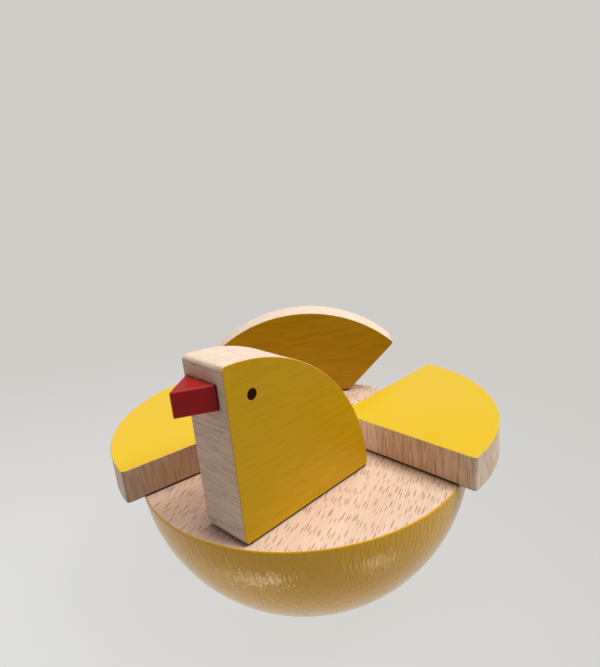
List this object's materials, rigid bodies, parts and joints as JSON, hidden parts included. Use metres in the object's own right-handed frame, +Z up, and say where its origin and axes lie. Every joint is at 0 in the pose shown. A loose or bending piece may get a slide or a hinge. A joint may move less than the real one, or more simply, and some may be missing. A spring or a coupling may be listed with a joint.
{
  "type": "rocking bird toy",
  "caption": "Wooden rocking bird: a painted half ball that carries a turning quarter-disc head with a wedge beak, swinging flat wings and an upright tail.",
  "frame": {"origin": "middle of the small flat at the lowest point of the half ball, which rests on the table", "axes": "+Z up, -Y the way the bird faces along its body, +X its left side"},
  "size_m": [0.1176, 0.1027, 0.0946],
  "materials": {
    "yellow_paint": "satin yellow paint on beech, bare at the deck and the board edges",
    "red_paint": "satin red paint on beech",
    "dark_plug": "dark stained wood",
    "bare_beech": "bare sanded beech"
  },
  "bodies": {
    "base": {"half_ball": "yellow_paint", "tail": "yellow_paint", "left_tail_dowel": "bare_beech", "right_tail_dowel": "bare_beech", "head_pivot_dowel": "bare_beech", "left_wing_dowel": "bare_beech", "right_wing_dowel": "bare_beech"},
    "head": {"head": "yellow_paint", "beak": "red_paint", "beak_dowel": "bare_beech", "left_eye": "dark_plug", "right_eye": "dark_plug"},
    "left_wing": {"left_wing": "yellow_paint"},
    "right_wing": {"right_wing": "yellow_paint"}
  },
  "joints": [
    {"name": "head_turn", "type": "hinge", "parent": "base", "child": "head", "pos_m": [-0.0013, -0.02502, 0.04734], "axis": [0, 0, 1], "continuous": true},
    {"name": "left_wing_swing", "type": "hinge", "parent": "base", "child": "left_wing", "pos_m": [0.03524, 0.0046, 0.04734], "axis": [0, 0, 1], "range_deg": [-25, 10]},
    {"name": "right_wing_swing", "type": "hinge", "parent": "base", "child": "right_wing", "pos_m": [-0.03524, 0.0046, 0.04734], "axis": [0, 0, -1], "range_deg": [-25, 10]}
  ]
}
